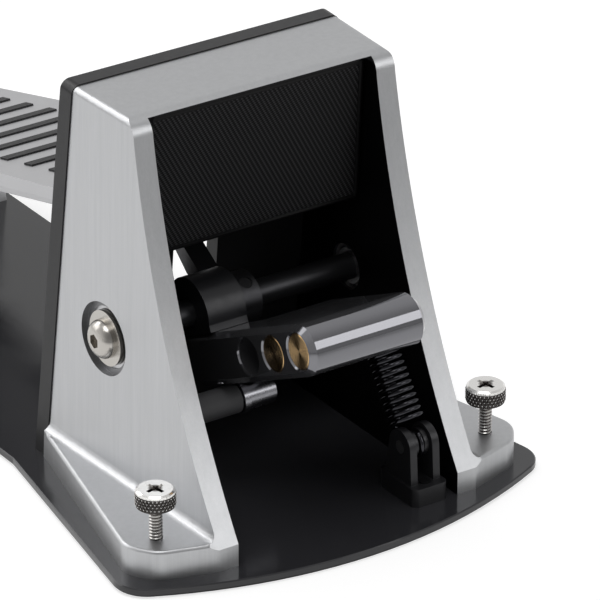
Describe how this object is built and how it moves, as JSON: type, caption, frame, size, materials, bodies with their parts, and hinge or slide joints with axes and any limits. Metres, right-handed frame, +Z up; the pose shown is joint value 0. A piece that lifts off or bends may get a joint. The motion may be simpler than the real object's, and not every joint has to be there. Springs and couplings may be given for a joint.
{
  "type": "kick drum trigger pedal",
  "caption": "Electronic kick drum trigger pedal: footboard-driven weighted hammer in a cast arch with strike pad, return spring, anchor bolts and base plate.",
  "frame": {"origin": "bottom centre of the whole pedal, on the floor under the rubber mat", "axes": "+X to the right seen from the arch's open front, along the hammer's axle; +Y from the arch's open front to the heel; +Z up"},
  "size_m": [0.2138, 0.432, 0.1886],
  "materials": {
    "black_plate": "gloss black",
    "rubber": "matte",
    "black_screw": "black oxide",
    "arch_aluminium": "brushed satin",
    "pad_mesh": "woven mesh",
    "black_plastic": "moulded",
    "foam": "closed-cell foam",
    "steel": "turned",
    "sensor_brass": "plain",
    "black_metal": "satin black",
    "board_aluminium": "bead-blasted satin",
    "nickel": "nickel plated",
    "dark_steel": "polished dark chrome",
    "brass": "turned",
    "spring_steel": "black oxide",
    "bronze": "sintered"
  },
  "bodies": {
    "root": {"base_plate": "black_plate", "rubber_mat": "rubber", "arch_screws": "black_screw", "heel_screws": "black_screw", "anchor_screws": "black_screw", "jack_box_screws": "black_screw", "arch_frame": "arch_aluminium", "rear_plate": "black_plate", "rear_plate_screws": "black_screw", "strike_pad": "pad_mesh", "pad_housing": "black_plastic", "pad_foam": "foam", "sensor_plate": "steel", "sensor_disc": "sensor_brass", "rear_foam": "foam", "bearing_outer_left": "steel", "bearing_outer_right": "steel", "bearing_balls": "steel", "spring_anchor": "black_metal", "anchor_pin": "steel", "anchor_bush": "black_metal", "stop_rod": "steel", "stop_sleeve": "rubber", "heel_block": "board_aluminium", "hinge_pin": "steel", "heel_plate": "board_aluminium", "jack_box": "black_plastic", "output_jack": "black_plastic", "jack_nut": "nickel"},
    "hammer": {"axle": "steel", "axle_washers": "nickel", "axle_bolts": "nickel", "bearing_inner_left": "steel", "bearing_inner_right": "steel", "hammer_block": "dark_steel", "brass_weight_outer": "brass", "brass_weight_inner": "brass", "weight_set_screws": "brass", "hammer_screws": "black_screw", "hub": "black_metal", "hub_clamp_screw": "black_screw", "cam_lever": "steel", "lever_set_screw": "black_screw", "spring_pin": "steel"},
    "spring_bush": {"spring_bush": "black_metal"},
    "spring": {"tension_spring": "spring_steel"},
    "footboard": {"footboard": "board_aluminium", "grip_strips": "rubber", "bracket_screws": "black_screw", "toe_stop": "rubber", "hinge_bushes": "bronze", "drive_bracket": "steel", "roller_pin": "steel"},
    "drive_roller": {"drive_roller": "black_plastic"},
    "anchor_bolt_left": {"anchor_bolt_left": "nickel"},
    "anchor_bolt_right": {"anchor_bolt_right": "nickel"}
  },
  "joints": [
    {"name": "hammer_swing", "type": "hinge", "parent": "root", "child": "hammer", "pos_m": [0, -0.111, 0.0792], "axis": [-1, 0, 0], "range_deg": [0, 60.3]},
    {"name": "footboard_press", "type": "hinge", "parent": "root", "child": "footboard", "pos_m": [0, 0.178, 0.05], "axis": [1, 0, 0], "range_deg": [0, 11.3]},
    {"name": "roller_spin", "type": "hinge", "parent": "footboard", "child": "drive_roller", "pos_m": [0, -0.06596, 0.10596], "axis": [1, 0, 0], "continuous": true},
    {"name": "spring_bush_turn", "type": "hinge", "parent": "hammer", "child": "spring_bush", "pos_m": [0.0425, -0.15173, 0.07449], "axis": [1, 0, 0], "range_deg": [0, 65.3]},
    {"name": "spring_stretch", "type": "slide", "parent": "spring_bush", "child": "spring", "axis": [0, -0.5744, -0.8186], "range_m": [0, 0.0408], "deforming": ["tension_spring"]},
    {"name": "anchor_bolt_left_slide", "type": "slide", "parent": "root", "child": "anchor_bolt_left", "axis": [0, 0, -1], "range_m": [0, 0.012]},
    {"name": "anchor_bolt_right_slide", "type": "slide", "parent": "root", "child": "anchor_bolt_right", "axis": [0, 0, -1], "range_m": [0, 0.012]}
  ],
  "couplings": [
    {"joint": "footboard_press", "follows": "hammer_swing", "ratio": 0.18704},
    {"joint": "spring_bush_turn", "follows": "hammer_swing", "ratio": 1.0807},
    {"joint": "spring_stretch", "follows": "hammer_swing", "m_per_rad": 0.03868}
  ]
}
